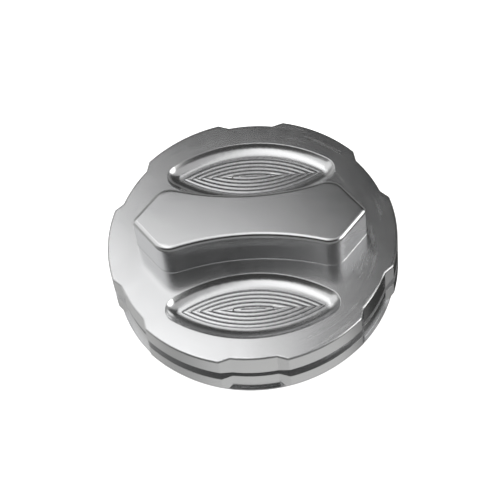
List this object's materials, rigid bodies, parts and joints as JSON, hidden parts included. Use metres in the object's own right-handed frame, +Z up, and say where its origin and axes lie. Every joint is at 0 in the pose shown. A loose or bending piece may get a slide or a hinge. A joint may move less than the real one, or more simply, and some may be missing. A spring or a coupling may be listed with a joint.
{
  "type": "motorcycle fuel cap",
  "caption": "Round machined fuel tank cap with a raised bow-tie grip, ribbed finger pockets, recessed grooved edge and a ratcheting threaded plug with vent valves underneath.",
  "frame": {"origin": "on the cap's axis at the sealing plane, the underside of the neck gasket", "axes": "+Z up along the thread's axis through the cap, +X along the grip, +Y across it"},
  "size_m": [0.076, 0.0744, 0.0434],
  "materials": {
    "billet": "turned and brushed, satin gloss",
    "tool_steel": "hardened, dark",
    "plate_aluminium": "turned",
    "screw_steel": "plain",
    "plug_nylon": "moulded, glass filled",
    "gasket_rubber": "matt",
    "pawl_plastic": "moulded",
    "washer_plastic": "smooth",
    "filter_felt": "porous",
    "housing_plastic": "moulded",
    "seal_rubber": "smooth",
    "spring_steel": "drawn wire",
    "valve_brass": "turned",
    "ball_steel": "polished"
  },
  "bodies": {
    "plug_side": {"plug": "plug_nylon", "neck_gasket": "gasket_rubber", "pawl_ring": "pawl_plastic", "thrust_washer": "washer_plastic", "vent_filter": "filter_felt", "valve_housing": "housing_plastic", "housing_o_ring": "seal_rubber", "lower_cover": "housing_plastic", "cover_screws": "screw_steel", "housing_clip": "spring_steel", "pressure_spring": "spring_steel"},
    "cap": {"cap_body": "billet", "ratchet_ring": "tool_steel", "ratchet_dowels": "tool_steel", "retaining_ring": "plate_aluminium", "retaining_screws": "screw_steel"},
    "pressure_valve": {"pressure_plate": "valve_brass", "pressure_seal": "seal_rubber", "vacuum_spring": "spring_steel"},
    "vacuum_valve": {"vacuum_poppet": "valve_brass", "vacuum_seal": "seal_rubber", "stem_clip": "spring_steel"},
    "ball": {"rollover_ball": "ball_steel"}
  },
  "joints": [
    {"name": "cap_turn", "type": "hinge", "parent": "plug_side", "child": "cap", "pos_m": [0, 0, 0], "axis": [0, 0, 1], "continuous": true},
    {"name": "pressure_lift", "type": "slide", "parent": "plug_side", "child": "pressure_valve", "axis": [0, 0, 1], "range_m": [0, 0.0015], "stiffness_N_per_m": 400, "springref_m": -0.005, "deforming": ["pressure_spring"]},
    {"name": "vacuum_open", "type": "slide", "parent": "pressure_valve", "child": "vacuum_valve", "axis": [0, 0, -1], "range_m": [0, 0.001], "stiffness_N_per_m": 100, "springref_m": -0.002, "deforming": ["vacuum_spring"]},
    {"name": "ball_rise", "type": "slide", "parent": "plug_side", "child": "ball", "axis": [0, 0, 1], "range_m": [0, 0.002]}
  ]
}
